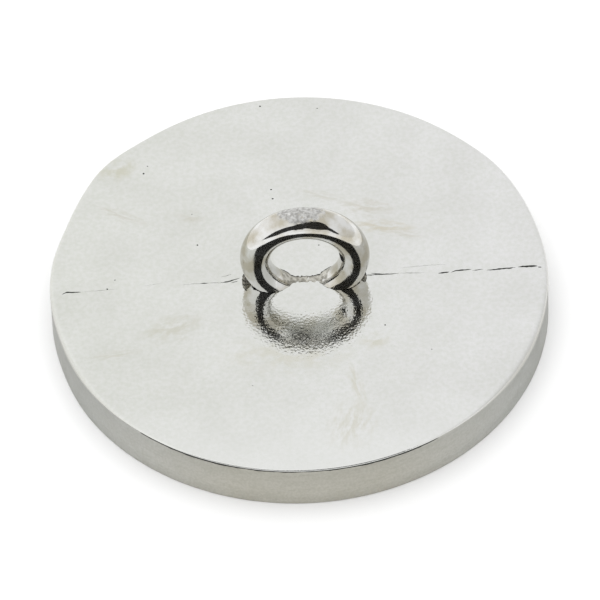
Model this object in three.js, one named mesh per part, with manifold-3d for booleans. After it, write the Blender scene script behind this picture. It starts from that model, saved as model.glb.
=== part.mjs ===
// Single-sided fishing magnet: a low round steel pot, open underneath, with a ring of flat magnet
// segments potted inside it and a fixed eye ring for the rope on top.
//
// Millimetres, +Z up. The origin is the centre of the pole face, the flat underside that grips steel.
// The eye ring stands in the XZ plane, which is also the plane of the pot's mould seam.
import * as THREE from "three";
import { mergeVertices } from "three/addons/utils/BufferGeometryUtils.js";
import Module from "manifold-3d";

const wasm = await Module();
wasm.setup();

// ---------------------------------------------------------------- sizes

// Pot: one casting with a flat top plate, an outer rim and a centre hub. Rim and hub are the two poles.
const potRadius = 60;
const potHeight = 12.3;
const rimWall = 5;
const hubRadius = 16;
const topEdgeRadius = 0.85;
const footChamfer = 0.5;
const poleChamfer = 0.3;

// The rim was dressed by hand and is slightly out of round: where each swell or flat is, how far it
// stands out of the circle, and how wide it is (degrees, mm, degrees).
const rimSwells = [
  { at: 139.5, out: 0.95, width: 6 },
  { at: 160.5, out: -0.6, width: 6 },
  { at: 195, out: -0.3, width: 8 },
  { at: 34.5, out: 0.42, width: 6 },
  { at: 14, out: -0.18, width: 6 },
];

// Eye: an oval bar bent to a ring and cast into the hub, so that the bottom of its bore lies almost
// level with the top face.
const eyeBoreRadius = 8.2;
const eyeBarRadial = 7.4;
const eyeBarAxial = 8.1;
const eyeBoreLift = 0.05; // from the top face up to the bore's lowest point
const eyeOffset = 1.7; // along X from the pot's centre
const eyeSocketGap = 0.3; // all round the bar, inside the hub

// Magnets: equal flat segments, magnetised through their thickness, that fill the pot's channel.
const magnetCount = 12;
const magnetThickness = 5.5;
const magnetChamfer = 0.3;
const pottingWall = 1.5; // resin between the magnets and both channel walls
const pottingRib = 1.6; // resin between neighbouring magnets
const faceRecess = 0.4; // the magnets lie this far inside the pole face
const adhesiveBed = 0.4; // glue between the magnets and the top plate

const seatGap = 0.1; // left between solids that fit against each other

// Facets
const turnSteps = 96; // round the pot
const edgeSteps = 3; // over the rounded top edge
const eyeSteps = 48; // round the eye
const barSteps = 16; // round the eye's bar
const segmentArcSteps = 5; // along each magnet's curved sides

// ---------------------------------------------------------------- sizes worked out from those

const channelOuterRadius = potRadius - rimWall;
const magnetTop = faceRecess + magnetThickness;
const channelCeiling = magnetTop + adhesiveBed;
const eyeRingRadius = eyeBoreRadius + eyeBarRadial / 2; // to the middle of the bar
const eyeCentreHeight = potHeight + eyeBoreLift + eyeBoreRadius;

// ---------------------------------------------------------------- materials

const platedSteel = new THREE.MeshStandardMaterial({
  color: 0xd6d7d4,
  metalness: 1,
  roughness: 0.18,
});
const polishedSteel = new THREE.MeshStandardMaterial({
  color: 0xdcdad5,
  metalness: 1,
  roughness: 0.06,
});
const platedMagnet = new THREE.MeshStandardMaterial({
  color: 0xc9c6bf,
  metalness: 1,
  roughness: 0.25,
});
const blackResin = new THREE.MeshStandardMaterial({
  color: 0x17181a,
  metalness: 0,
  roughness: 0.35,
});
const amberGlue = new THREE.MeshStandardMaterial({
  color: 0xb9a77c,
  metalness: 0,
  roughness: 0.4,
});

// ---------------------------------------------------------------- solids

// A closed geometry as a manifold-3d solid, with its shared vertices merged.
function solidFrom(geometry) {
  const bare = geometry.clone();
  bare.deleteAttribute("normal");
  bare.deleteAttribute("uv");
  const merged = mergeVertices(bare, 1e-4);
  return new wasm.Manifold(
    new wasm.Mesh({
      numProp: 3,
      vertProperties: new Float32Array(merged.attributes.position.array),
      triVerts: new Uint32Array(merged.index.array),
    }),
  );
}

// A manifold-3d solid as a geometry that a mesh can show.
function geometryFrom(solid) {
  const mesh = solid.getMesh();
  const geometry = new THREE.BufferGeometry();
  geometry.setAttribute("position", new THREE.BufferAttribute(mesh.vertProperties, 3));
  geometry.setIndex(new THREE.BufferAttribute(mesh.triVerts, 1));
  geometry.computeVertexNormals();
  return geometry;
}

// A profile of [radius, height] points turned about the Z axis.
function turned(profile) {
  const points = profile.map(([radius, height]) => new THREE.Vector2(radius, height));
  return new THREE.LatheGeometry(points, turnSteps).rotateX(Math.PI / 2);
}

function degreesApart(a, b) {
  return Math.abs(((a - b + 540) % 360) - 180);
}

// How far the rim stands out of its circle at an azimuth in degrees.
function swellAt(azimuth) {
  const shareOf = (swell) => Math.exp(-0.5 * (degreesApart(azimuth, swell.at) / swell.width) ** 2);
  return rimSwells.reduce((sum, swell) => sum + swell.out * shareOf(swell), 0);
}

// Moves every vertex outside a radius in or out with the rim's swells.
function swellRim(geometry, insideRadius) {
  const position = geometry.attributes.position;
  for (let i = 0; i < position.count; i++) {
    const x = position.getX(i);
    const y = position.getY(i);
    const radius = Math.hypot(x, y);
    if (radius <= insideRadius) continue;
    const grown = 1 + swellAt(THREE.MathUtils.radToDeg(Math.atan2(y, x))) / radius;
    position.setXY(i, x * grown, y * grown);
  }
  return geometry;
}

// The eye's ring with its bar made thicker all round by a gap.
function eyeTorus(gap) {
  const radial = eyeBarRadial / 2 + gap;
  const axial = eyeBarAxial / 2 + gap;
  return new THREE.TorusGeometry(eyeRingRadius, radial, barSteps, eyeSteps)
    .scale(1, 1, axial / radial)
    .rotateX(Math.PI / 2)
    .translate(eyeOffset, 0, eyeCentreHeight);
}

// The rounded top edge, from the side wall to the top face.
function topEdge() {
  return Array.from({ length: edgeSteps + 1 }, (_, i) => {
    const turn = ((i / edgeSteps) * Math.PI) / 2;
    return [
      potRadius - topEdgeRadius * (1 - Math.cos(turn)),
      potHeight - topEdgeRadius * (1 - Math.sin(turn)),
    ];
  });
}

function potGeometry() {
  const body = turned([
    [0, 0],
    [hubRadius - poleChamfer, 0],
    [hubRadius, poleChamfer],
    [hubRadius, channelCeiling],
    [channelOuterRadius, channelCeiling],
    [channelOuterRadius, poleChamfer],
    [channelOuterRadius + poleChamfer, 0],
    [potRadius - footChamfer, 0],
    [potRadius, footChamfer],
    ...topEdge(),
    [0, potHeight],
  ]);
  const rim = swellRim(body, channelOuterRadius + poleChamfer + seatGap);
  return geometryFrom(solidFrom(rim).subtract(solidFrom(eyeTorus(eyeSocketGap))));
}

// One segment's outline, grown all round: two arcs about the pot's axis, and two sides that leave an
// even rib to the next segment.
function segmentOutline(grow) {
  const inner = hubRadius + pottingWall - grow;
  const outer = channelOuterRadius - pottingWall + grow;
  const halfRib = pottingRib / 2 - grow;
  const halfAngle = (radius) => Math.PI / magnetCount - Math.asin(halfRib / radius);
  const onArc = (radius, share) => {
    const angle = halfAngle(radius) * share;
    return new THREE.Vector2(radius * Math.cos(angle), radius * Math.sin(angle));
  };
  const shares = Array.from({ length: segmentArcSteps + 1 }, (_, i) => (2 * i) / segmentArcSteps - 1);
  return [
    ...shares.map((share) => onArc(outer, share)),
    ...shares.map((share) => onArc(inner, -share)),
  ];
}

// A flat piece from an outline: its edges are chamfered where chamfer isn't 0.
function plate(shape, thickness, chamfer) {
  const geometry = new THREE.ExtrudeGeometry(shape, {
    depth: thickness - 2 * chamfer,
    bevelEnabled: chamfer > 0,
    bevelThickness: chamfer,
    bevelSize: chamfer,
    bevelOffset: -chamfer,
    bevelSegments: 1,
    curveSegments: turnSteps / 2, // a full circle takes twice as many
  });
  return geometry.translate(0, 0, chamfer);
}

function ringShape(inner, outer) {
  const shape = new THREE.Shape().absarc(0, 0, outer, 0, 2 * Math.PI);
  shape.holes.push(new THREE.Path().absarc(0, 0, inner, 0, 2 * Math.PI, true));
  return shape;
}

function pottingGeometry() {
  const shape = ringShape(hubRadius + seatGap, channelOuterRadius - seatGap);
  for (let i = 0; i < magnetCount; i++) {
    const centre = new THREE.Vector2();
    const pocket = segmentOutline(seatGap).map((p) => p.rotateAround(centre, segmentAngle(i)));
    shape.holes.push(new THREE.Path(pocket.reverse()));
  }
  return plate(shape, magnetThickness, 0);
}

function segmentAngle(i) {
  return ((i + 0.5) * 2 * Math.PI) / magnetCount;
}

// ---------------------------------------------------------------- assembly

const fishingMagnet = new THREE.Group();

function place(name, geometry, material, height = 0, turn = 0) {
  const mesh = new THREE.Mesh(geometry, material);
  mesh.name = name;
  mesh.position.z = height;
  mesh.rotation.z = turn;
  fishingMagnet.add(mesh);
}

place("steel_pot", potGeometry(), platedSteel);
place("eye_ring", eyeTorus(0), polishedSteel);

const segmentGeometry = plate(new THREE.Shape(segmentOutline(0)), magnetThickness, magnetChamfer);
for (let i = 0; i < magnetCount; i++) {
  const number = String(i + 1).padStart(2, "0");
  place(`magnet_segment_${number}`, segmentGeometry, platedMagnet, faceRecess, segmentAngle(i));
}

place("potting_resin", pottingGeometry(), blackResin, faceRecess);

const bedShape = ringShape(hubRadius + seatGap, channelOuterRadius - seatGap);
const bedGeometry = plate(bedShape, adhesiveBed - 2 * seatGap, 0);
place("adhesive_bed", bedGeometry, amberGlue, magnetTop + seatGap);

export default fishingMagnet;
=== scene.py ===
"""Finish and studio for a single-sided fishing magnet: a low plated pot with a cast-in eye for the rope.

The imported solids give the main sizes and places. Each one that shows is made again here as a finer
piece of the same size. Lengths are metres, and MM turns millimetres into them. Azimuths are about the
pot's axis. Functions take angles in radians unless they say otherwise, and the named values and the
tables give them in degrees.
"""

import math

import bpy
from mathutils import Matrix, Vector, noise


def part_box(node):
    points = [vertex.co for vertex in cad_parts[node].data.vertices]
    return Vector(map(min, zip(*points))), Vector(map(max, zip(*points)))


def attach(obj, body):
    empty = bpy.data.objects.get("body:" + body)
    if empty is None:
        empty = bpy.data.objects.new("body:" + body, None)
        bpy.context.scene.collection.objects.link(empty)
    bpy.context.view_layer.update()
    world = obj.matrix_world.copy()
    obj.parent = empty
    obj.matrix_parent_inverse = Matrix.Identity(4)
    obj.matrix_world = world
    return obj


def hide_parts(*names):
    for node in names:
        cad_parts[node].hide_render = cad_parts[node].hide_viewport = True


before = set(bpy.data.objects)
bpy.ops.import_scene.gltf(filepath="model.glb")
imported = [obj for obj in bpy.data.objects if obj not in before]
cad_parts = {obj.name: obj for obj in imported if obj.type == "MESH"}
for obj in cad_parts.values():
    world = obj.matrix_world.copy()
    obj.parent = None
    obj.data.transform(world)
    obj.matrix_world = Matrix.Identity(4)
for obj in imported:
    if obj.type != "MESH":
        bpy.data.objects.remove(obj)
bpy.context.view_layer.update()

MM = 0.001

# ------------------------------------------------------------------ sizes

# From the solids
_, pot_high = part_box("steel_pot")
eye_low, eye_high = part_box("eye_ring")
resin_low, resin_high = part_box("potting_resin")

POT_RADIUS = pot_high.y
POT_HEIGHT = pot_high.z
EYE_OUTER_RADIUS = (eye_high.z - eye_low.z) / 2
EYE_CENTRE = (eye_low + eye_high) / 2
EYE_BAR_AXIAL = eye_high.y - eye_low.y
MAGNET_FLOOR = resin_low.z
MAGNET_TOP = resin_high.z

# Of the real pieces, where a box doesn't give them
EYE_BAR_RADIAL = 7.4 * MM
EYE_BEND_RADIUS = EYE_OUTER_RADIUS - EYE_BAR_RADIAL / 2
SOLIDS_GAP = 0.1 * MM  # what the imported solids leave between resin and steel
GLUE_BED = 0.4 * MM  # between the magnets and the top plate
CHANNEL_RADIUS = resin_high.y + SOLIDS_GAP
CHANNEL_CEILING = MAGNET_TOP + GLUE_BED
HUB_RADIUS = 16 * MM
FOOT_RADIUS = 0.5 * MM
POLE_EDGE_RADIUS = 0.3 * MM
MAGNETS = 12
MAGNET_EDGE_RADIUS = 0.35 * MM
POTTING_WALL = 1.5 * MM
POTTING_RIB = 1.6 * MM
RESIN_SAG = 0.12 * MM
RESIN_CREEP = 0.45 * MM  # how far from a wall the resin still climbs it
SEAT_GAP = 0.04 * MM

# How finely each piece is faceted
POT_TURN_STEPS = 480
FACE_RINGS = 26
WALL_STEPS = 12
TOP_EDGE_STEPS = 8
FOOT_STEPS = 5
POLE_EDGE_STEPS = 4
EYE_TURN_STEPS = 360
EYE_BAR_STEPS = 144
SOCKET_TURN_STEPS = 240
SOCKET_BAR_STEPS = 96
RESIN_TURN_STEPS = 360
RESIN_RINGS = 40
MAGNET_OUTER_STEPS = 36
MAGNET_INNER_STEPS = 12
MAGNET_SIDE_STEPS = 50

SMOOTH_BELOW = 35  # edges stay sharp where two faces turn by more, in degrees

# ------------------------------------------------------------------ meshes


def lump(x, y, z, size, seed=0.0):
    """A smooth random height from -1 to 1 whose lumps are about a size across."""
    return noise.noise(Vector((x, y, z)) / size + Vector((seed, 0, 0)))


def piece(name, points, faces, finishes=None, smooth_below=SMOOTH_BELOW):
    """A mesh object whose edges stay sharp where its faces turn by more than an angle in degrees.
    finishes gives each face the number of its material."""
    mesh = bpy.data.meshes.new(name)
    mesh.from_pydata([tuple(p) for p in points], [], faces)
    if finishes:
        mesh.polygons.foreach_set("material_index", finishes)
    mesh.validate()
    mesh.shade_smooth()
    mesh.set_sharp_from_angle(angle=math.radians(smooth_below))
    made = bpy.data.objects.new(name, mesh)
    bpy.context.scene.collection.objects.link(made)
    return made


def turned(name, section_at, steps):
    """A closed body of revolution. section_at(azimuth) gives its points as [radius, height, finish],
    where the finish is of the strip that ends there. Both ends of the section are on the axis."""
    sections = [section_at(math.tau * i / steps) for i in range(steps)]
    inner = len(sections[0]) - 2
    bottom, top = sections[0][0], sections[0][-1]
    points = [Vector((0, 0, bottom[1])), Vector((0, 0, top[1]))]
    for i, section in enumerate(sections):
        azimuth = math.tau * i / steps
        for radius, height, _ in section[1:-1]:
            points.append(Vector((radius * math.cos(azimuth), radius * math.sin(azimuth), height)))
    faces, finishes = [], []
    for i, section in enumerate(sections):
        here = 2 + i * inner
        after = 2 + (i + 1) % steps * inner
        faces.append((0, after, here))
        faces += [(here + k, after + k, after + k + 1, here + k + 1) for k in range(inner - 1)]
        faces.append((here + inner - 1, after + inner - 1, 1))
        finishes += [point[2] for point in section[1:]]
    return piece(name, points, faces, finishes)


def arc(centre, radius, start, end, steps, finish):
    """Points on an arc in a section, from one angle to another in degrees."""
    turns = [math.radians(start + (end - start) * i / steps) for i in range(steps + 1)]
    return [(centre[0] + radius * math.cos(t), centre[1] + radius * math.sin(t), finish) for t in turns]


def cut(body, cutter):
    """Takes the cutter out of the body and throws the cutter away. The cut faces keep its material."""
    modifier = body.modifiers.new("cut", "BOOLEAN")
    modifier.operation = "DIFFERENCE"
    modifier.solver = "MANIFOLD"
    modifier.material_mode = "TRANSFER"
    modifier.object = cutter
    evaluated = body.evaluated_get(bpy.context.evaluated_depsgraph_get())
    mesh = bpy.data.meshes.new_from_object(evaluated)
    body.modifiers.clear()
    body.data = mesh
    mesh.set_sharp_from_angle(angle=math.radians(SMOOTH_BELOW))
    bpy.data.objects.remove(cutter)


def apart(a, b):
    """How many degrees lie between two angles in degrees."""
    return abs((a - b + 540) % 360 - 180)


def bumps(table, azimuth):
    """The sum of smooth bumps at an azimuth. The table says where each is, how high and how wide."""
    at = math.degrees(azimuth)
    return sum(high * math.exp(-0.5 * (apart(at, middle) / width) ** 2) for middle, high, width in table)


def blend_in(value, start, end):
    """0 before start, 1 after end, and a smooth rise between them."""
    share = min(max((value - start) / (end - start), 0.0), 1.0)
    return share * share * (3 - 2 * share)


# ------------------------------------------------------------------ pot

# The pot's finishes, in the order of its materials. The last is dark residue with painted shade, for
# grooves and holes
FACE, WALL, POLE, RESIDUE_AND_SHADE = range(4)

FRONT = 265  # the azimuth, in degrees, of the front of the rim

# The rim's swells and flats, as the casting was dressed: azimuth, height in mm, width in degrees
RIM_SWELLS = (
    (139.5, 0.95, 6),
    (160.5, -0.6, 6),
    (195, -0.3, 8),
    (34.5, 0.42, 6),
    (14, -0.18, 6),
)

# The top edge's radius in mm: left crisp at the front, and broken more towards the back, with the change
# between two angles off the front. Then where it is worn on the left and the right: azimuth, extra
# radius in mm, width in degrees
EDGE_CRISP = 0.3
EDGE_BROKEN = 0.6
EDGE_CHANGES = (32, 70)
EDGE_WEAR = ((203, 0.5, 15), (333, 0.65, 15))

# The fine line under the front edge: its height and depth in mm where it is shut, and how much each
# gains where it is open. How open it is on the whole, and the angles off the front between which it
# closes. Then where it gapes: azimuth, how much further open, width in degrees
LINE_HEIGHT = 0.16
LINE_HEIGHT_OPENS = 0.45
LINE_DEPTH = 0.02
LINE_DEPTH_OPENS = 0.2
LINE_OPEN = 0.42
LINE_ENDS = (33, 39)
LINE_GAPES = ((247, 0.45, 8), (289, 0.45, 7))
RESIDUE_AND_SHADE_SHOWS = 0.2  # how open the line is where residue stayed in it and its shade is painted dark

# How uneven the wall and the face were left, in mm, and how far across the face's waves are
WALL_DRESSED = 0.03
FACE_WAVE = 0.03
FACE_WAVE_SIZE = 22


def edge_radius(azimuth):
    """The radius that the top edge was broken to."""
    x, y = math.cos(azimuth), math.sin(azimuth)
    broken = EDGE_BROKEN * blend_in(apart(math.degrees(azimuth), FRONT), *EDGE_CHANGES)
    worn = bumps(EDGE_WEAR, azimuth)
    return (EDGE_CRISP + broken + worn) * MM * (1 + 0.12 * lump(x, y, 0, 0.2, seed=7))


def edge_line(azimuth):
    """How open the fine line under the top edge is, from 0 to 1. It runs along the front only, and two
    stretches of it gape."""
    x, y = math.cos(azimuth), math.sin(azimuth)
    front = 1 - blend_in(apart(math.degrees(azimuth), FRONT), *LINE_ENDS)
    broken = LINE_OPEN + bumps(LINE_GAPES, azimuth)
    broken += 0.35 * lump(x, y, 0, 0.07, seed=4) + 0.3 * lump(x, y, 0, 0.02, seed=9)
    return min(max(front * broken, 0.0), 1.0)


def underside_section():
    """The first part of the pot's section: from the middle of its underside, over the hub and through
    the channel, to the pole face of the rim."""
    hub, channel, edge = HUB_RADIUS, CHANNEL_RADIUS, POLE_EDGE_RADIUS
    section = [(0, 0, POLE), (hub * 0.5, 0, POLE)]
    section += arc((hub - edge, edge), edge, -90, 0, POLE_EDGE_STEPS, POLE)
    section += [(hub, CHANNEL_CEILING, WALL), (channel, CHANNEL_CEILING, WALL), (channel, edge, WALL)]
    section += arc((channel + edge, edge), edge, 180, 270, POLE_EDGE_STEPS, POLE)[1:]
    return section


def pot_section(azimuth):
    """The pot's section at an azimuth, from the middle of its underside round to the middle of its
    top face."""
    x, y = math.cos(azimuth), math.sin(azimuth)
    radius = POT_RADIUS + bumps(RIM_SWELLS, azimuth) * MM
    section = underside_section()
    foot = arc((radius - FOOT_RADIUS, FOOT_RADIUS), FOOT_RADIUS, -90, 0, FOOT_STEPS, WALL)
    section += [(foot[0][0], foot[0][1], POLE)] + foot[1:]
    edge = edge_radius(azimuth)
    open_line = edge_line(azimuth)
    line_top = POT_HEIGHT - edge
    line_bottom = line_top - (LINE_HEIGHT + LINE_HEIGHT_OPENS * open_line) * MM
    for i in range(1, WALL_STEPS):
        height = FOOT_RADIUS + (line_bottom - FOOT_RADIUS) * i / WALL_STEPS
        dressed = WALL_DRESSED * MM * (1 + lump(x, y, height * 12, 0.35, seed=2))
        section.append((radius - dressed, height, WALL))
    # Where the line is open enough its faces are coloured dark: residue and painted shade.
    line_finish = RESIDUE_AND_SHADE if open_line > RESIDUE_AND_SHADE_SHOWS else WALL
    line_floor = radius - (LINE_DEPTH + LINE_DEPTH_OPENS * open_line) * MM
    section.append((radius, line_bottom, WALL))
    section.append((line_floor, (line_bottom + line_top) / 2, line_finish))
    rounded = arc((radius - edge, POT_HEIGHT - edge), edge, 0, 90, TOP_EDGE_STEPS, FACE)
    section += [(rounded[0][0], rounded[0][1], line_finish)] + rounded[1:]
    for i in range(FACE_RINGS, 0, -1):
        out = (POT_RADIUS - 2 * MM) * i / FACE_RINGS
        wave = FACE_WAVE * MM * lump(out * x, out * y, 0, FACE_WAVE_SIZE * MM, seed=1)
        section.append((out, POT_HEIGHT + wave * min(1.0, (FACE_RINGS - i) / 3), FACE))
    section.append((0, POT_HEIGHT, FACE))
    return section


SEAM_MARKS = (
    # Where each stretch of the open mould seam runs on the top face, its width and its depth, in mm
    (((-57.0, -1.7), (-56.0, -1.1), (-54.8, -1.2), (-52.5, -1.2)), 0.55, 0.26),
    (((-52.5, -1.2), (-47.0, -0.9), (-43.5, -0.7)), 0.13, 0.04),
    (((-38.0, -0.2), (-34.5, 0.3), (-32.0, 0.6)), 0.13, 0.04),
    (((-28.6, -0.2), (-25.0, -0.1), (-22.5, -0.1)), 0.19, 0.06),
    (((-23.8, -0.1), (-21.6, 0.0)), 0.36, 0.14),
    (((-21.6, 0.0), (-18.5, -0.1)), 0.19, 0.06),
    (((-18.8, -0.1), (-17.0, 0.1), (-16.3, 0.4), (-14.2, 1.1)), 0.42, 0.19),
    (((-16.3, -0.3), (-14.6, 0.2)), 0.26, 0.10),
    (((-18.9, 1.7), (-17.5, 2.0), (-16.0, 2.5)), 0.17, 0.05),
    (((-3.6, 2.3), (-2.5, 1.1), (-1.1, 0.4), (0.3, 0.3)), 0.49, 0.18),
    (((0.0, 0.35), (1.5, 0.45), (3.5, 0.85), (5.4, 1.45)), 0.42, 0.14),
    (((5.0, 1.3), (7.6, 2.9), (9.9, 4.7)), 0.32, 0.14),
    (((15.4, 0.3), (19.4, 0.4), (22.0, 0.4), (24.2, 0.5)), 0.46, 0.19),
    (((17.3, 1.0), (20.0, 0.6)), 0.32, 0.14),
    (((24.2, 0.5), (30.4, 0.4)), 0.19, 0.06),
    (((24.0, 2.2), (30.0, 2.6), (36.6, 2.8)), 0.13, 0.04),
    (((33.6, 0.0), (34.8, 0.1), (36.3, 0.3)), 0.49, 0.22),
    (((36.6, 0.1), (37.9, 0.6), (39.5, 0.7), (41.6, 0.8)), 0.49, 0.24),
    (((41.8, 0.4), (44.5, 0.7)), 0.32, 0.12),
    (((45.3, 0.3), (48.0, 0.5), (49.7, 0.6), (52.2, 0.8)), 0.55, 0.24),
    (((52.9, 0.9), (54.0, 1.0), (57.5, 1.0)), 0.68, 0.34),
    (((57.6, 0.7), (58.5, 0.5)), 0.52, 0.22),
)

PITS = (
    # Where the largest blowholes open on the top face, and how wide each is, in mm
    ((-36.7, 36.3), 0.5),
    ((-5.8, 29.3), 0.5),
    ((-5.5, 26.3), 0.55),
    ((-7.7, 57.0), 0.5),
    ((6.3, 55.5), 0.35),
    ((-24.1, 12.3), 0.45),
    ((-44.2, 2.2), 0.4),
    ((-46.1, -0.6), 0.4),
    ((-35.7, 38.7), 0.35),
    ((20.2, -15.7), 0.4),
    ((5.2, 10.7), 0.4),
    ((-25.2, 22.4), 0.3),
    ((31.0, -24.0), 0.3),
    ((-12.0, -33.0), 0.28),
)


WEDGE_STEP = 0.25  # between a wedge's stations, in mm
WEDGE_TOP = POT_HEIGHT + 0.06 * MM  # clear of the face's waves
PIT_DEPTH = 0.6  # of a blowhole's width


def wedge(points, faces, path, width, depth, seed):
    """Adds to points and faces a thin upside-down wedge along a path of the top face, in mm. It wanders
    a little and tapers to both ends."""
    stations = []
    for start, end in zip(path, path[1:]):
        start, end = Vector(start), Vector(end)
        steps = max(3, int((end - start).length / WEDGE_STEP))
        stations += [start.lerp(end, i / steps) for i in range(steps)]
    stations.append(Vector(path[-1]))
    first = len(points)
    for i, at in enumerate(stations):
        share = min(max(i / (len(stations) - 1), 0.03), 0.97)
        taper = math.sin(math.pi * share) ** 0.5
        wander = 0.10 * lump(at.x, seed, 0, 0.9, seed=6)
        half = width * taper * (1 + 0.5 * lump(at.x, seed, 1, 0.7, seed=8)) / 2 * MM
        x, y = at.x * MM, (at.y + wander) * MM
        points += [(x, y - half, WEDGE_TOP), (x, y + half, WEDGE_TOP)]
        points.append((x, y, POT_HEIGHT - depth * taper * MM))
        if i:
            a, b = first + 3 * (i - 1), first + 3 * i
            faces += [(a + j, a + k, b + k, b + j) for j, k in ((0, 2), (2, 1), (1, 0))]
    last = first + 3 * (len(stations) - 1)
    faces += [(first, first + 1, first + 2), (last, last + 2, last + 1)]


def seam_cutter():
    """The open stretches of the seam and the blowholes, as one set of thin wedges."""
    points, faces = [], []
    for number, (path, width, depth) in enumerate(SEAM_MARKS):
        wedge(points, faces, path, width, depth, seed=number)
    for number, ((x, y), width) in enumerate(PITS):
        path = ((x - width / 2, y), (x, y), (x + width / 2, y))
        wedge(points, faces, path, width, width * PIT_DEPTH, seed=40 + number)
    return piece("seam_cutter", points, faces)


# ------------------------------------------------------------------ eye

BORE_DROP = 0.75 * MM  # how far the lower half of the bore was ground down towards the face
BORE_CLEARS = 0.015 * MM  # what is left between the bore and the face

# Where the bar was welded at the top and dented on the left, and how wide each is, in degrees round the
# ring from the right
WELD_AT, WELD_WIDTH = 91, 17
DENTS_AT, DENTS_WIDTH = 150, 12


def bore_drop(turn):
    """How far the bore is lowered at a turn of the ring. It never goes below the face."""
    downwards = max(0.0, -math.sin(turn))
    bore = EYE_BEND_RADIUS - EYE_BAR_RADIAL / 2
    above_face = EYE_CENTRE.z - POT_HEIGHT - bore * downwards
    return min(BORE_DROP * downwards, above_face - BORE_CLEARS)


def crevice(turn, round_bar):
    """How wide the gap round the eye's foot is: tight and slightly ragged, and wider at its left and
    right ends, where flash broke away."""
    x = EYE_CENTRE.x + (EYE_BEND_RADIUS + EYE_BAR_RADIAL / 2 * math.cos(round_bar)) * math.cos(turn)
    y = EYE_BAR_AXIAL / 2 * math.sin(round_bar)
    left = blend_in(-x, 8 * MM, 11 * MM) * blend_in(y, -4 * MM, -2 * MM)
    corner = max(left, blend_in(x, 14 * MM, 15.5 * MM))
    ragged = max(0.0, 0.35 + lump(x, y, 0, 0.8 * MM, seed=31))
    return SEAT_GAP + (0.42 * corner + 0.12) * ragged * MM


def eye_body(name, turn_steps=EYE_TURN_STEPS, bar_steps=EYE_BAR_STEPS, worked=True):
    """The eye's bar, bent to a ring. A worked one has the slight unevenness of a bar that was bent,
    welded at the top and polished by hand. One that isn't is the socket, a crevice wider all round."""
    points, faces = [], []
    for i in range(turn_steps):
        turn = math.tau * i / turn_steps
        out = Vector((math.cos(turn), 0, math.sin(turn)))
        for k in range(bar_steps):
            round_bar = math.tau * k / bar_steps
            shrink = 1 - unevenness_of_eye(turn, round_bar) if worked else 1.0
            gap = 0.0 if worked else crevice(turn, round_bar)
            reach = EYE_BEND_RADIUS + (EYE_BAR_RADIAL / 2 * shrink + gap) * math.cos(round_bar)
            side = Vector((0, (EYE_BAR_AXIAL / 2 * shrink + gap) * math.sin(round_bar), 0))
            drop = bore_drop(turn) * max(0.0, -math.cos(round_bar))
            points.append(EYE_CENTRE + out * reach + side - Vector((0, 0, drop)))
            a, b = i * bar_steps, (i + 1) % turn_steps * bar_steps
            c = (k + 1) % bar_steps
            faces.append((a + k, a + c, b + c, b + k))
    return piece(name, points, faces, smooth_below=60)


def unevenness_of_eye(turn, round_bar):
    """The share of the bar's half-thickness that is missing at a place on it."""
    x, y = math.cos(turn), math.sin(turn)
    u, v = math.cos(round_bar), math.sin(round_bar)
    at = (12 * x, 12 * y + 4 * u, 4 * v)  # the same place in mm
    bent = 0.008 * (1 + lump(x, y + u, v, 0.9, seed=3))
    outside = blend_in(u, -0.1, 0.5)
    weld = math.exp(-((apart(math.degrees(turn), WELD_AT) / WELD_WIDTH) ** 4)) * outside
    rough = weld * (0.012 * (1 + lump(*at, 2.0, seed=5)) + 0.006 * (1 + lump(*at, 0.8, seed=12)))
    left = math.exp(-((apart(math.degrees(turn), DENTS_AT) / DENTS_WIDTH) ** 2))
    dents = left * 0.002 * (1 + lump(*at, 1.5, seed=14))
    return bent + rough + dents


def blowhole_cutter():
    """The blowhole that opens inside the bore."""
    bpy.ops.mesh.primitive_ico_sphere_add(subdivisions=3, radius=1.0)
    hole = bpy.context.object
    centre = Vector((10.35 * MM, -2.2 * MM, POT_HEIGHT + 9.8 * MM))
    half = Vector((1.0, 1.15, 1.5)) * MM
    for vertex in hole.data.vertices:
        at = vertex.co.copy()
        vertex.co = centre + half * at * (1 + 0.25 * lump(*at, 0.8))
    return hole


FOOT_FLASH = (
    # The casting flash at the eye's two feet: name, side along X, how far it stands out and up in mm
    ("left_foot_flash", -1, 2.1, 3.0),
    ("right_foot_flash", 1, 1.5, 1.9),
)
FLASH_SUNK = 0.15 * MM  # into the face
FLASH_BURIED = 0.5 * MM  # in the eye's bar


def foot_burr(name, side, reach, height):
    """The rough fin of casting flash in the corner between the eye and the face, on the seam. side is
    -1 or 1 along X. It starts inside the eye's bar, and it stands out by reach and up by height."""
    points, faces = [], []
    levels, rounds = 14, 16
    for i in range(levels + 1):
        share = i / levels
        above = POT_HEIGHT - FLASH_SUNK + (height + FLASH_SUNK) * share
        from_centre = max(0.0, EYE_OUTER_RADIUS**2 - (above - EYE_CENTRE.z) ** 2) ** 0.5
        inside = from_centre - FLASH_BURIED
        fin = inside + reach * (1 - share) ** 0.8 + FLASH_BURIED
        middle, half = (inside + fin) / 2, (fin - inside) / 2
        thick = (0.75 - 0.35 * share) * MM
        for k in range(rounds):
            t = math.tau * k / rounds
            rough = 1 + 0.35 * lump(i * 0.9, math.cos(t), math.sin(t) + side, 0.9, seed=17)
            x = EYE_CENTRE.x + side * (middle + half * math.cos(t) * rough)
            points.append((x, thick * math.sin(t) * rough, above))
    for i in range(levels):
        for k in range(rounds):
            a, b = i * rounds, (i + 1) * rounds
            c = (k + 1) % rounds
            quad = (a + k, a + c, b + c, b + k)
            faces.append(quad if side > 0 else quad[::-1])
    bottom, top = tuple(range(rounds)), tuple(range(levels * rounds, (levels + 1) * rounds))
    faces += [bottom[::-1], top] if side > 0 else [bottom, top[::-1]]
    return piece(name, points, faces, smooth_below=60)


# ------------------------------------------------------------------ magnets and resin


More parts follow.
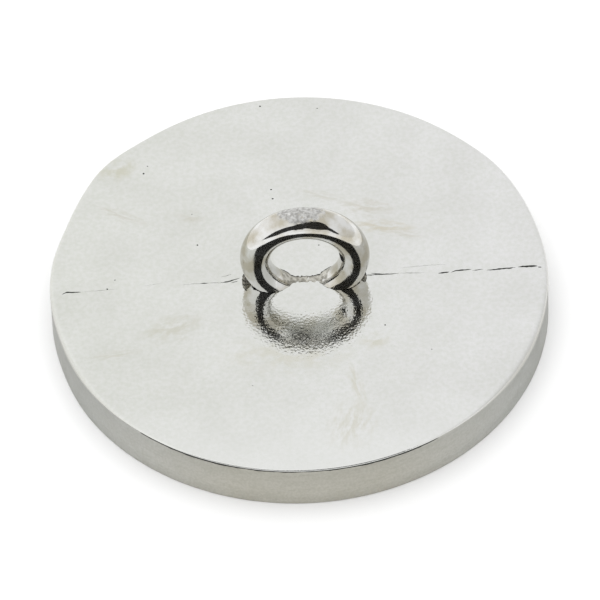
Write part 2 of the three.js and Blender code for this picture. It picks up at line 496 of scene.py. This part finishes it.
def segment_outline(grow):
    """One magnet's outline about the X axis, grown all round and with its corners eased, in steps of
    under a millimetre."""
    inner, outer = HUB_RADIUS + POTTING_WALL - grow, CHANNEL_RADIUS - POTTING_WALL + grow
    half_rib = POTTING_RIB / 2 - grow
    outline = []
    for radius, way, steps in ((outer, 1, MAGNET_OUTER_STEPS), (inner, -1, MAGNET_INNER_STEPS)):
        half_angle = math.pi / MAGNETS - math.asin(half_rib / radius)
        for i in range(steps + 1):
            angle = way * half_angle * (2 * i / steps - 1)
            outline.append(Vector((radius * math.cos(angle), radius * math.sin(angle))))
        side_start = outline[-1]
        next_radius = inner if way == 1 else outer
        next_angle = math.pi / MAGNETS - math.asin(half_rib / next_radius)
        side_end = Vector((next_radius * math.cos(next_angle), way * next_radius * math.sin(next_angle)))
        sides = range(1, MAGNET_SIDE_STEPS)
        outline += [side_start.lerp(side_end, i / MAGNET_SIDE_STEPS) for i in sides]
    for _ in range(2):
        after = outline[1:] + outline[:1]
        before = outline[-1:] + outline[:-1]
        outline = [(b + 2 * at + a) / 4 for b, at, a in zip(before, outline, after)]
    return outline


def segment_body(name, angle, grow=0.0, stand_out=0.0):
    """One magnet with rounded edges. Where stand_out isn't 0, it is the cutter of its pocket: grown all
    round, with sharp edges, and standing out at both ends."""
    low, high = MAGNET_FLOOR - stand_out, MAGNET_TOP + stand_out
    if stand_out:
        levels = [(low, 0), (high, 0)]
    else:
        edge = MAGNET_EDGE_RADIUS
        turns = [math.radians(90 * i / 3) for i in range(4)]
        levels = [(low + edge * (1 - math.sin(t)), edge * (1 - math.cos(t))) for t in reversed(turns)]
        levels += [(high - edge * (1 - math.sin(t)), edge * (1 - math.cos(t))) for t in turns]
    points, faces = [], []
    for height, inset in levels:
        for at in segment_outline(grow - inset):
            x = at.x * math.cos(angle) - at.y * math.sin(angle)
            y = at.x * math.sin(angle) + at.y * math.cos(angle)
            points.append((x, y, height))
    count = len(points) // len(levels)
    for i in range(len(levels) - 1):
        for k in range(count):
            a, b, c = i * count, (i + 1) * count, (k + 1) % count
            faces.append((a + k, a + c, b + c, b + k))
    faces += [tuple(range(count))[::-1], tuple(range(len(points) - count, len(points)))]
    return piece(name, points, faces, smooth_below=40)


def segment_angle(number):
    """The azimuth of a magnet's middle. The magnets are numbered from 1."""
    return (number - 0.5) * math.tau / MAGNETS


def resin_body():
    """The potting resin before the magnets' pockets: it sags a little between the walls, and creeps up
    both of them."""
    inner, outer = HUB_RADIUS + SEAT_GAP, CHANNEL_RADIUS - SEAT_GAP
    points, faces = [], []
    for i in range(RESIN_TURN_STEPS):
        angle = math.tau * i / RESIN_TURN_STEPS
        x, y = math.cos(angle), math.sin(angle)
        for k in range(RESIN_RINGS + 1):
            share = (1 - math.cos(math.pi * k / RESIN_RINGS)) / 2
            radius = inner + (outer - inner) * share
            from_wall = min(radius - inner, outer - radius)
            creep = math.exp(-from_wall / RESIN_CREEP)
            uneven = 1 + 0.4 * lump(radius * x, radius * y, 0, 9 * MM, seed=21)
            points.append((radius * x, radius * y, MAGNET_FLOOR + RESIN_SAG * uneven * (1 - creep)))
        points += [(outer * x, outer * y, MAGNET_TOP), (inner * x, inner * y, MAGNET_TOP)]
    count = RESIN_RINGS + 3
    for i in range(RESIN_TURN_STEPS):
        a, b = i * count, (i + 1) % RESIN_TURN_STEPS * count
        faces += [(a + k, b + k, b + (k + 1) % count, a + (k + 1) % count) for k in range(count)]
    return piece("black_potting", points, faces)


# ------------------------------------------------------------------ materials


def linear(colour):
    """An sRGB hex colour such as "#c0c0c0" as linear RGBA."""
    parts = [int(colour[i : i + 2], 16) / 255 for i in (1, 3, 5)]
    return [p / 12.92 if p <= 0.04045 else ((p + 0.055) / 1.055) ** 2.4 for p in parts] + [1.0]


def every(millimetres):
    """The texture scale of a pattern that repeats about every so many millimetres."""
    return 1 / (millimetres * MM)


def add(tree, kind, inputs=None, **settings):
    """Adds one node, with its settings, and its inputs set to values or linked from other outputs."""
    node = tree.nodes.new(kind)
    for name, value in settings.items():
        setattr(node, name, value)
    for key, value in (inputs or {}).items():
        if isinstance(value, bpy.types.NodeSocket):
            tree.links.new(value, node.inputs[key])
        else:
            node.inputs[key].default_value = value
    return node


# The sockets of a Mix node that mixes colours, and of a Map Range node
FACTOR, COLOUR_A, COLOUR_B, MIXED = 0, 6, 7, 2
VALUE, FROM_LOW, FROM_HIGH, TO_LOW, TO_HIGH = range(5)


def new_material(name):
    """A material with an empty node tree, the tree, and places on the object in metres."""
    material = bpy.data.materials.new(name)
    material.use_nodes = True
    tree = material.node_tree
    tree.nodes.clear()
    return material, tree, add(tree, "ShaderNodeTexCoord").outputs["Object"]


def surface(tree, inputs):
    """Ends a material with a Principled shader of these inputs."""
    shader = add(tree, "ShaderNodeBsdfPrincipled", inputs)
    add(tree, "ShaderNodeOutputMaterial", {"Surface": shader.outputs["BSDF"]})


def clouds(tree, at, size, detail=4.0, low=0.35, high=0.65):
    """Soft random patches about a size (mm) across, from 0 to 1."""
    patches = add(tree, "ShaderNodeTexNoise", {"Vector": at, "Scale": every(size), "Detail": detail})
    spread = {VALUE: patches.outputs["Fac"], FROM_LOW: low, FROM_HIGH: high}
    return add(tree, "ShaderNodeMapRange", spread).outputs[0]


def oval(tree, at, centre, half, turn=0.0):
    """A soft oval patch of the top face, with sizes in mm and its turn in degrees: places in it, and a
    share that is 1 in its middle and 0 at its edge."""
    place = {
        "Vector": at,
        "Location": (centre[0] * MM, centre[1] * MM, POT_HEIGHT),
        "Rotation": (0, 0, math.radians(turn)),
        "Scale": (half[0] * MM, half[1] * MM, 0.1),
    }
    placed = add(tree, "ShaderNodeMapping", place, vector_type="TEXTURE").outputs["Vector"]
    soft = add(tree, "ShaderNodeTexGradient", {"Vector": placed}, gradient_type="SPHERICAL").outputs["Fac"]
    return placed, soft


STREAK_SIZE = 4.5  # how far across a stain's streaks are, in mm

STAINS = (
    # Where the plating is stained or was wiped and its half sizes, in mm, its turn, its colour, its
    # strength, and how far its streaks are drawn out
    ((17.0, 22.4), (8.5, 4.2), -6, "#c3bfb2", 0.55, 3.0),
    ((20.5, 15.8), (10.5, 3.2), -5, "#c4bda9", 0.6, 3.0),
    ((26.5, 13.0), (5.5, 2.2), -10, "#c2bfb2", 0.45, 4.0),
    ((6.5, 26.6), (8.0, 2.2), -18, "#c6c4b8", 0.45, 5.0),
    ((11.0, -47.0), (10.5, 7.5), 78, "#bfbba6", 0.5, 3.0),
    ((12.6, -34.0), (10.0, 2.2), -75, "#c4c1ae", 0.45, 4.0),
    ((17.6, -20.5), (5.0, 3.5), 20, "#c6c3b1", 0.5, 1.5),
    ((-31.0, -14.0), (10.0, 6.0), 25, "#c1bfaf", 0.5, 2.0),
    ((-44.6, -21.6), (8.0, 2.0), 10, "#c4c2b4", 0.45, 6.0),
    ((-43.0, 38.0), (6.5, 5.0), 40, "#bdbaa0", 0.45, 1.0),
    ((-42.5, 23.0), (9.0, 2.6), -25, "#c2bfb2", 0.45, 5.0),
    ((-25.5, 21.5), (4.5, 3.0), 0, "#c1beb0", 0.4, 2.0),
    ((-4.0, -24.0), (20.0, 8.0), 0, "#cbc9bb", 0.5, 1.5),
)


def nickel_on_ground_face():
    """Bright nickel plated over a ground steel casting. It mirrors what stands on it, and its fine sandy
    grain breaks the mirror up the further away a thing is. Water and wiping left it clouded and stained.
    It is lighter towards the front, and over the rounded edge it turns satin and darker."""
    material, tree, at = new_material("bright_nickel_on_ground_face")
    place = add(tree, "ShaderNodeSeparateXYZ", {"Vector": at}).outputs
    side = {VALUE: place["X"], FROM_LOW: -POT_RADIUS, FROM_HIGH: POT_RADIUS}
    across = add(tree, "ShaderNodeMapRange", side).outputs[0]
    left_to_right = {FACTOR: across, COLOUR_A: linear("#dadbd7"), COLOUR_B: linear("#dedede")}
    tone = add(tree, "ShaderNodeMix", left_to_right, data_type="RGBA").outputs[MIXED]
    cloud = clouds(tree, at, 14)
    misted = {FACTOR: cloud, COLOUR_A: linear("#f9f9f8"), COLOUR_B: linear("#ffffff")}
    mist = add(tree, "ShaderNodeMix", misted, data_type="RGBA").outputs[MIXED]
    # The real speckle is finer than can be seen, so it is drawn about 1 mm across.
    specks = clouds(tree, at, 1.1, detail=3.0)
    speckled = {FACTOR: specks, COLOUR_A: linear("#f8f9f6"), COLOUR_B: linear("#ffffff")}
    speckle = add(tree, "ShaderNodeMix", speckled, data_type="RGBA").outputs[MIXED]
    for layer in (mist, speckle):
        layered = {FACTOR: 1.0, COLOUR_A: tone, COLOUR_B: layer}
        tone = add(tree, "ShaderNodeMix", layered, data_type="RGBA", blend_type="MULTIPLY").outputs[MIXED]
    for centre, half, turn, colour, strength, drawn_out in STAINS:
        placed, soft = oval(tree, at, centre, half, turn)
        scale = (half[0] / STREAK_SIZE, half[1] * drawn_out / STREAK_SIZE, 1.0)
        stretch = {"Vector": placed, "Scale": scale}
        streaks = add(tree, "ShaderNodeMapping", stretch).outputs["Vector"]
        streaky = {"Vector": streaks, "Scale": 1.0, "Detail": 5.0, "Roughness": 0.6}
        streak = add(tree, "ShaderNodeTexNoise", streaky).outputs["Fac"]
        split = {VALUE: streak, FROM_LOW: 0.4, FROM_HIGH: 0.62}
        parted = add(tree, "ShaderNodeMapRange", split).outputs[0]
        reach = add(tree, "ShaderNodeMath", {0: soft, 1: parted}, operation="MULTIPLY").outputs[0]
        shown = {VALUE: reach, FROM_LOW: 0.05, FROM_HIGH: 0.6, TO_LOW: 0.0, TO_HIGH: strength}
        strength_here = add(tree, "ShaderNodeMapRange", shown).outputs[0]
        stained = {FACTOR: strength_here, COLOUR_A: tone, COLOUR_B: linear(colour)}
        tone = add(tree, "ShaderNodeMix", stained, data_type="RGBA").outputs[MIXED]
    # The colour is made lighter towards the front.
    near_front = {VALUE: place["Y"], FROM_LOW: -0.6 * POT_RADIUS, FROM_HIGH: -POT_RADIUS, TO_HIGH: 0.6}
    front = add(tree, "ShaderNodeMapRange", near_front).outputs[0]
    lighter_to_front = {FACTOR: front, COLOUR_A: tone, COLOUR_B: linear("#e2e3e1")}
    tone = add(tree, "ShaderNodeMix", lighter_to_front, data_type="RGBA").outputs[MIXED]
    over_edge = {VALUE: place["Z"], FROM_LOW: POT_HEIGHT - 0.1 * MM, FROM_HIGH: POT_HEIGHT - 0.9 * MM}
    edge = add(tree, "ShaderNodeMapRange", over_edge).outputs[0]
    tumbled = {FACTOR: edge, COLOUR_A: tone, COLOUR_B: linear("#bdbcb6")}
    tone = add(tree, "ShaderNodeMix", tumbled, data_type="RGBA").outputs[MIXED]
    dulled = {VALUE: cloud, TO_LOW: 0.05, TO_HIGH: 0.09}
    ground = add(tree, "ShaderNodeMapRange", dulled).outputs[0]
    satin = {0: edge, 1: 0.3, 2: ground}
    roughness = add(tree, "ShaderNodeMath", satin, operation="MULTIPLY_ADD").outputs[0]
    # The grain of the grinding is about 0.1 mm, and it is drawn 0.65 mm wide so that it shows.
    fine = {"Vector": at, "Scale": every(0.65), "Detail": 1.0}
    grain = add(tree, "ShaderNodeTexNoise", fine).outputs["Fac"]
    bump = add(tree, "ShaderNodeBump", {"Height": grain, "Distance": 0.03 * MM}).outputs["Normal"]
    surface(tree, {"Base Color": tone, "Metallic": 1.0, "Roughness": roughness, "Normal": bump})
    return material


def nickel_on_cast_wall():
    """Nickel over the tumbled side of the casting, which was never ground: satin, warmer and duller than
    the face, with faint level streaks from the mould. Its colour is darker towards the top edge: painted
    shade."""
    material, tree, at = new_material("satin_nickel_on_cast_wall")
    stretch = {"Vector": at, "Scale": (1.0, 1.0, 6.0)}
    level = add(tree, "ShaderNodeMapping", stretch).outputs["Vector"]
    streak = clouds(tree, level, 5, detail=5.0)
    place = add(tree, "ShaderNodeSeparateXYZ", {"Vector": at}).outputs
    off_middle = add(tree, "ShaderNodeMath", {0: place["X"]}, operation="ABSOLUTE").outputs[0]
    out_there = {VALUE: off_middle, FROM_LOW: 18 * MM, FROM_HIGH: 52 * MM}
    to_side = add(tree, "ShaderNodeMapRange", out_there).outputs[0]
    warm = {FACTOR: to_side, COLOUR_A: linear("#c1bfb6"), COLOUR_B: linear("#c9cac8")}
    base = add(tree, "ShaderNodeMix", warm, data_type="RGBA").outputs[MIXED]
    # Painted shade: these lines make the wall's colour darker towards the top edge.
    upwards = {VALUE: place["Z"], FROM_LOW: 4 * MM, FROM_HIGH: 11 * MM}
    painted_shade_towards_top = add(tree, "ShaderNodeMapRange", upwards).outputs[0]
    thin = {FACTOR: painted_shade_towards_top, COLOUR_A: linear("#ffffff"), COLOUR_B: linear("#ebebeb")}
    plated = add(tree, "ShaderNodeMix", thin, data_type="RGBA").outputs[MIXED]
    plating = {FACTOR: 1.0, COLOUR_A: base, COLOUR_B: plated}
    base = add(tree, "ShaderNodeMix", plating, data_type="RGBA", blend_type="MULTIPLY").outputs[MIXED]
    streaked = {FACTOR: streak, COLOUR_A: linear("#f4f4f2"), COLOUR_B: linear("#ffffff")}
    lines = add(tree, "ShaderNodeMix", streaked, data_type="RGBA").outputs[MIXED]
    lined = {FACTOR: 1.0, COLOUR_A: base, COLOUR_B: lines}
    tinted = add(tree, "ShaderNodeMix", lined, data_type="RGBA", blend_type="MULTIPLY").outputs[MIXED]
    # The cast skin's grain is drawn about 0.6 mm wide so that it shows.
    speckle = clouds(tree, at, 0.6, detail=3.0)
    darker = {FACTOR: speckle, COLOUR_A: linear("#f2f2f0"), COLOUR_B: linear("#ffffff")}
    grainy = add(tree, "ShaderNodeMix", darker, data_type="RGBA").outputs[MIXED]
    layered = {FACTOR: 1.0, COLOUR_A: tinted, COLOUR_B: grainy}
    colour = add(tree, "ShaderNodeMix", layered, data_type="RGBA", blend_type="MULTIPLY").outputs[MIXED]
    roughness = add(tree, "ShaderNodeMapRange", {VALUE: streak, TO_LOW: 0.3, TO_HIGH: 0.42}).outputs[0]
    bump = add(tree, "ShaderNodeBump", {"Height": speckle, "Distance": 0.01 * MM}).outputs["Normal"]
    inputs = {"Base Color": colour, "Metallic": 1.0, "Roughness": roughness, "Normal": bump}
    surface(tree, inputs | {"Specular Tint": linear("#d2d2cf")})
    return material


def nickel_on_ground_poles():
    """Nickel over the two pole faces, ground flat on a wheel: fine straight scratches all one way."""
    material, tree, at = new_material("nickel_on_wheel_ground_poles")
    drawn = {"Vector": at, "Scale": (0.04, 1.0, 1.0), "Rotation": (0, 0, math.radians(12))}
    along = add(tree, "ShaderNodeMapping", drawn).outputs["Vector"]
    # Wheel marks of about 0.05 mm are drawn 0.5 mm wide so that they show.
    scratch = clouds(tree, along, 0.5, detail=4.0)
    tone = {FACTOR: scratch, COLOUR_A: linear("#b4b3ae"), COLOUR_B: linear("#d3d2ce")}
    colour = add(tree, "ShaderNodeMix", tone, data_type="RGBA").outputs[MIXED]
    roughness = add(tree, "ShaderNodeMapRange", {VALUE: scratch, TO_LOW: 0.22, TO_HIGH: 0.36}).outputs[0]
    bump = add(tree, "ShaderNodeBump", {"Height": scratch, "Distance": 0.006 * MM}).outputs["Normal"]
    surface(tree, {"Base Color": colour, "Metallic": 1.0, "Roughness": roughness, "Normal": bump})
    return material


def nickel_on_polished_bar():
    """Bright nickel over a hand-polished steel bar: an almost clear mirror, except over the weld at the
    top, which was only ground and stays mottled and matt, and low in the bore, where no wheel reached
    the cast skin."""
    material, tree, at = new_material("bright_nickel_on_polished_bar")
    cloud = clouds(tree, at, 5, low=0.4, high=0.6)
    tone = {FACTOR: cloud, COLOUR_A: linear("#b8b3a5"), COLOUR_B: linear("#d9d9d7")}
    polished = add(tree, "ShaderNodeMix", tone, data_type="RGBA").outputs[MIXED]
    apex = tuple(EYE_CENTRE + Vector((-0.6 * MM, 1.2 * MM, EYE_OUTER_RADIUS)))
    spot = {"Vector": at, "Location": apex, "Scale": (7.2 * MM, 4.6 * MM, 4.2 * MM)}
    placed = add(tree, "ShaderNodeMapping", spot, vector_type="TEXTURE").outputs["Vector"]
    soft = add(tree, "ShaderNodeTexGradient", {"Vector": placed}, gradient_type="SPHERICAL").outputs["Fac"]
    ragged = clouds(tree, at, 1.3, low=0.25, high=0.6)
    edge = add(tree, "ShaderNodeMath", {0: soft, 1: ragged}, operation="MULTIPLY").outputs[0]
    weld = add(tree, "ShaderNodeMapRange", {VALUE: edge, FROM_LOW: 0.06, FROM_HIGH: 0.18}).outputs[0]
    # The weld's pitting is drawn about 0.7 mm wide so that it shows.
    pitting = clouds(tree, at, 0.7, detail=2.0)
    mottled = {FACTOR: pitting, COLOUR_A: linear("#a1a09d"), COLOUR_B: linear("#cdcdcb")}
    mottle = add(tree, "ShaderNodeMix", mottled, data_type="RGBA").outputs[MIXED]
    bottom = EYE_CENTRE - Vector((0, -1.2 * MM, EYE_BEND_RADIUS - EYE_BAR_RADIAL / 2))
    low = {"Vector": at, "Location": tuple(bottom), "Scale": (8.5 * MM, 5.2 * MM, 3.6 * MM)}
    placed = add(tree, "ShaderNodeMapping", low, vector_type="TEXTURE").outputs["Vector"]
    soft = add(tree, "ShaderNodeTexGradient", {"Vector": placed}, gradient_type="SPHERICAL").outputs["Fac"]
    foot_edge = add(tree, "ShaderNodeMath", {0: soft, 1: ragged}, operation="MULTIPLY").outputs[0]
    foot = add(tree, "ShaderNodeMapRange", {VALUE: foot_edge, FROM_LOW: 0.1, FROM_HIGH: 0.22}).outputs[0]
    undressed = {FACTOR: clouds(tree, at, 1.2), COLOUR_A: linear("#86837a"), COLOUR_B: linear("#d2d0c7")}
    cast_skin = add(tree, "ShaderNodeMix", undressed, data_type="RGBA").outputs[MIXED]
    both = {FACTOR: weld, COLOUR_A: polished, COLOUR_B: mottle}
    colour = add(tree, "ShaderNodeMix", both, data_type="RGBA").outputs[MIXED]
    with_foot = {FACTOR: foot, COLOUR_A: colour, COLOUR_B: cast_skin}
    colour = add(tree, "ShaderNodeMix", with_foot, data_type="RGBA").outputs[MIXED]
    matt = add(tree, "ShaderNodeMath", {0: weld, 1: foot}, operation="MAXIMUM").outputs[0]
    roughness = add(tree, "ShaderNodeMapRange", {VALUE: matt, TO_LOW: 0.07, TO_HIGH: 0.42}).outputs[0]
    worked = add(tree, "ShaderNodeMapRange", {VALUE: matt, TO_LOW: 0.12, TO_HIGH: 1.0}).outputs[0]
    dimples = add(tree, "ShaderNodeMath", {0: pitting, 1: worked}, operation="MULTIPLY").outputs[0]
    bump = add(tree, "ShaderNodeBump", {"Height": dimples, "Distance": 0.014 * MM}).outputs["Normal"]
    surface(tree, {"Base Color": colour, "Metallic": 1.0, "Roughness": roughness, "Normal": bump})
    return material


def residue_and_painted_shade():
    """Dried plating salts and soot in grooves, crevices and holes, with the shade in them painted in as
    well: dull and dark grey.
    """
    material, tree, at = new_material("dried_residue_and_painted_shade")
    tone = {FACTOR: clouds(tree, at, 0.6), COLOUR_A: linear("#151615"), COLOUR_B: linear("#444540")}
    colour = add(tree, "ShaderNodeMix", tone, data_type="RGBA").outputs[MIXED]
    surface(tree, {"Base Color": colour, "Roughness": 0.8})
    return material


def as_cast_flash():
    """Casting flash under thin nickel, never dressed: rough, with painted shade in its hollows and a
    painted highlight on its tips.
    """
    material, tree, at = new_material("nickel_on_as_cast_flash")
    lumps = clouds(tree, at, 0.9, detail=3.0, low=0.4, high=0.6)
    # Painted shade and highlight: the colour follows the bump's lumps, dark in the hollows and bright on
    # the tips.
    tone = {FACTOR: lumps, COLOUR_A: linear("#2e2d2b"), COLOUR_B: linear("#a9a59b")}
    colour = add(tree, "ShaderNodeMix", tone, data_type="RGBA").outputs[MIXED]
    bump = add(tree, "ShaderNodeBump", {"Height": lumps, "Distance": 0.12 * MM}).outputs["Normal"]
    surface(tree, {"Base Color": colour, "Metallic": 0.85, "Roughness": 0.38, "Normal": bump})
    return material


def nickel_on_magnet():
    """Nickel-copper-nickel barrel plate on sintered neodymium magnet: satin, a little yellow, and
    scuffed where the magnets were pushed home."""
    material, tree, at = new_material("barrel_nickel_on_sintered_magnet")
    scuff = clouds(tree, at, 3.0, detail=6.0)
    tone = {FACTOR: scuff, COLOUR_A: linear("#b8b4a9"), COLOUR_B: linear("#cdcac1")}
    colour = add(tree, "ShaderNodeMix", tone, data_type="RGBA").outputs[MIXED]
    roughness = add(tree, "ShaderNodeMapRange", {VALUE: scuff, TO_LOW: 0.3, TO_HIGH: 0.2}).outputs[0]
    # The barrel's tiny dings are drawn about 0.8 mm wide so that they show.
    dings = clouds(tree, at, 0.8, detail=2.0)
    bump = add(tree, "ShaderNodeBump", {"Height": dings, "Distance": 0.008 * MM}).outputs["Normal"]
    surface(tree, {"Base Color": colour, "Metallic": 1.0, "Roughness": roughness, "Normal": bump})
    return material


def poured_black_epoxy():
    """Black epoxy, poured and left to level: glossy, with a dusty bloom and small pinholes."""
    material, tree, at = new_material("poured_black_epoxy")
    bloom = clouds(tree, at, 7, detail=5.0)
    tone = {FACTOR: bloom, COLOUR_A: linear("#101113"), COLOUR_B: linear("#26272a")}
    colour = add(tree, "ShaderNodeMix", tone, data_type="RGBA").outputs[MIXED]
    roughness = add(tree, "ShaderNodeMapRange", {VALUE: bloom, TO_LOW: 0.22, TO_HIGH: 0.45}).outputs[0]
    holes = add(tree, "ShaderNodeTexVoronoi", {"Vector": at, "Scale": every(2.2)}).outputs["Distance"]
    pinhole = add(tree, "ShaderNodeMapRange", {VALUE: holes, FROM_LOW: 0.03, FROM_HIGH: 0.12}).outputs[0]
    bump = add(tree, "ShaderNodeBump", {"Height": pinhole, "Distance": 0.05 * MM}).outputs["Normal"]
    surface(tree, {"Base Color": colour, "Roughness": roughness, "IOR": 1.55, "Normal": bump})
    return material


def amber_adhesive():
    """Anaerobic adhesive squeezed flat between steel and magnets: amber, glossy, with cloudy streaks."""
    material, tree, at = new_material("squeezed_amber_adhesive")
    streak = clouds(tree, at, 4, detail=5.0)
    tone = {FACTOR: streak, COLOUR_A: linear("#8f7a45"), COLOUR_B: linear("#c2ae7c")}
    colour = add(tree, "ShaderNodeMix", tone, data_type="RGBA").outputs[MIXED]
    bump = add(tree, "ShaderNodeBump", {"Height": streak, "Distance": 0.03 * MM}).outputs["Normal"]
    surface(tree, {"Base Color": colour, "Roughness": 0.35, "IOR": 1.5, "Normal": bump})
    return material


face_nickel = nickel_on_ground_face()
wall_nickel = nickel_on_cast_wall()
pole_nickel = nickel_on_ground_poles()
residue_and_shade = residue_and_painted_shade()
eye_nickel = nickel_on_polished_bar()
flash_nickel = as_cast_flash()
magnet_nickel = nickel_on_magnet()
black_epoxy = poured_black_epoxy()
glue = amber_adhesive()

# ------------------------------------------------------------------ the object


def belongs(made, node=None):
    """Every piece rides on the one rigid body, and may stand for a solid."""
    if node:
        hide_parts(node)
    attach(made, "root")


def make_pot():
    """The pot, with the eye's socket, the open seam and the blowholes cut out of it."""
    pot = turned("plated_pot", pot_section, POT_TURN_STEPS)
    for material in (face_nickel, wall_nickel, pole_nickel, residue_and_shade):
        pot.data.materials.append(material)
    socket = eye_body("eye_socket", SOCKET_TURN_STEPS, SOCKET_BAR_STEPS, worked=False)
    # The crevice round the eye's foot is coloured dark: residue and painted shade.
    socket.data.materials.append(residue_and_shade)
    cut(pot, socket)
    seam = seam_cutter()
    # The open seam and the blowholes are coloured dark: residue and painted shade.
    seam.data.materials.append(residue_and_shade)
    cut(pot, seam)
    belongs(pot, "steel_pot")


def make_eye():
    """The eye, with its blowhole, and the flash at its two feet."""
    eye = eye_body("polished_eye")
    eye.data.materials.append(eye_nickel)
    hole = blowhole_cutter()
    # The blowhole in the bore is coloured dark: residue and painted shade.
    hole.data.materials.append(residue_and_shade)
    cut(eye, hole)
    belongs(eye, "eye_ring")
    for name, side, reach, height in FOOT_FLASH:
        burr = foot_burr(name, side, reach * MM, height * MM)
        burr.data.materials.append(flash_nickel)
        belongs(burr)


def make_magnets():
    """The ring of magnet segments."""
    for number in range(1, MAGNETS + 1):
        magnet = segment_body(f"plated_magnet_{number:02d}", segment_angle(number))
        magnet.data.materials.append(magnet_nickel)
        belongs(magnet, f"magnet_segment_{number:02d}")


def make_resin():
    """The resin, with a pocket cut for each magnet."""
    resin = resin_body()
    resin.data.materials.append(black_epoxy)
    for number in range(1, MAGNETS + 1):
        pocket = segment_body("pocket", segment_angle(number), grow=SEAT_GAP, stand_out=0.5 * MM)
        pocket.data.materials.append(black_epoxy)
        cut(resin, pocket)
    belongs(resin, "potting_resin")


make_pot()
make_eye()
make_magnets()
make_resin()
# The adhesive bed is hidden between magnets and steel, so it keeps its solid.
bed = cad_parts["adhesive_bed"]
bed.data.materials.clear()
bed.data.materials.append(glue)

# ------------------------------------------------------------------ studio


def towards(bearing, height):
    """A direction, from its bearing off the camera's side towards +X and its height, in degrees."""
    b, h = math.radians(bearing), math.radians(height)
    return Vector((math.sin(b) * math.cos(h), -math.cos(b) * math.cos(h), math.sin(h)))


def studio_floor():
    """A wide sweep of white paper under the pot."""
    half = 8.0
    corners = [(-half, -half, 0), (half, -half, 0), (half, half, 0), (-half, half, 0)]
    mesh = bpy.data.meshes.new("studio_floor")
    mesh.from_pydata(corners, [], [(0, 1, 2, 3)])
    floor = bpy.data.objects.new("studio_floor", mesh)
    bpy.context.scene.collection.objects.link(floor)
    material, tree, _ = new_material("white_sweep_paper")
    surface(tree, {"Base Color": linear("#fbfbfb"), "Roughness": 0.9})
    mesh.materials.append(material)


def studio_light():
    """A white tent, brighter overhead and on the left, and a broad soft lamp above the floor."""
    world = bpy.data.worlds.new("white_tent")
    bpy.context.scene.world = world
    world.use_nodes = True
    tree = world.node_tree
    tree.nodes.clear()
    direction = add(tree, "ShaderNodeTexCoord").outputs["Generated"]
    facing = add(tree, "ShaderNodeSeparateXYZ", {"Vector": direction}).outputs
    rise = {VALUE: facing["Z"], FROM_LOW: 0.82, FROM_HIGH: 1.0, TO_LOW: 1.08, TO_HIGH: 1.13}
    upper = add(tree, "ShaderNodeMapRange", rise).outputs[0]
    fall = {VALUE: facing["X"], FROM_LOW: -1.0, FROM_HIGH: 1.0, TO_LOW: 1.12, TO_HIGH: 0.88}
    across = add(tree, "ShaderNodeMapRange", fall).outputs[0]
    strength = add(tree, "ShaderNodeMath", {0: upper, 1: across}, operation="MULTIPLY").outputs[0]
    background = add(tree, "ShaderNodeBackground", {"Color": linear("#fdfdfd"), "Strength": strength})
    add(tree, "ShaderNodeOutputWorld", {"Surface": background.outputs[0]})
    lamp = bpy.data.lights.new("floor_softbox", "AREA")
    lamp.shape = "DISK"
    lamp.size = 3.0
    lamp.energy = 20.0
    softbox = bpy.data.objects.new("floor_softbox", lamp)
    bpy.context.scene.collection.objects.link(softbox)
    softbox.location = (0, 0, 3.0)
    softbox.visible_glossy = False


# The black card's corners as seen from the eye, as bearings and heights: up its left side, over its
# top, down its right side and back along its lower edge
CARD_LEFT = ((-50, 1), (-46, 12), (-40, 28), (-31, 38), (-20, 44), (-10, 54))
CARD_TOP = ((-2, 66), (8, 70), (20, 71), (38, 66), (51, 58))
CARD_RIGHT = ((49, 46), (42, 30), (41, 8), (35, 3))
CARD_FOOT = ((31, 6), (29, 17), (12, 15), (0, 14.5), (-12, 13), (-18, 9), (-24, 1))
CARD_MIDDLE = (3, 38)
CARD_DISTANCE = 1.5


def black_card():
    """A black card in front and above, round the lens, which the bright metal mirrors as dark bands."""
    middle = towards(*CARD_MIDDLE)
    points = [towards(*corner) for corner in CARD_LEFT + CARD_TOP + CARD_RIGHT + CARD_FOOT]
    points = [tuple(point * (CARD_DISTANCE / point.dot(middle))) for point in points]
    mesh = bpy.data.meshes.new("black_card")
    mesh.from_pydata(points, [], [tuple(range(len(points)))])
    card = bpy.data.objects.new("black_card", mesh)
    bpy.context.scene.collection.objects.link(card)
    card.visible_camera = False
    card.visible_diffuse = False
    card.visible_shadow = False
    material, tree, _ = new_material("black_velvet")
    surface(tree, {"Base Color": linear("#2a2a2a"), "Roughness": 1.0})
    mesh.materials.append(material)


CAMERA_HEIGHT = 48.85  # above the face's level, in degrees
CAMERA_ROLL = -2.42
CAMERA_DISTANCE = 1.8
CAMERA_AIM = (0.315 * MM, -5.02 * MM)  # from the middle of the face, to the right and up in the view


def studio_camera():
    """Looks down at the front of the pot from far off, turned slightly clockwise."""
    roll = math.radians(CAMERA_ROLL)
    back = towards(0, CAMERA_HEIGHT)
    level = Vector((1, 0, 0))
    upright = back.cross(level)
    right = level * math.cos(roll) + upright * math.sin(roll)
    up = upright * math.cos(roll) - level * math.sin(roll)
    data = bpy.data.cameras.new("camera")
    data.sensor_width = 36
    data.lens = 449
    data.clip_start, data.clip_end = 0.1, 100
    camera = bpy.data.objects.new("camera", data)
    bpy.context.scene.collection.objects.link(camera)
    aim = Vector((0, 0, POT_HEIGHT)) + right * CAMERA_AIM[0] + up * CAMERA_AIM[1]
    facing = Matrix((right, up, back)).transposed().to_4x4()
    camera.matrix_world = Matrix.Translation(aim + back * CAMERA_DISTANCE) @ facing
    bpy.context.scene.camera = camera


studio_floor()
studio_light()
black_card()
studio_camera()
bpy.context.scene.view_settings.view_transform = "Standard"
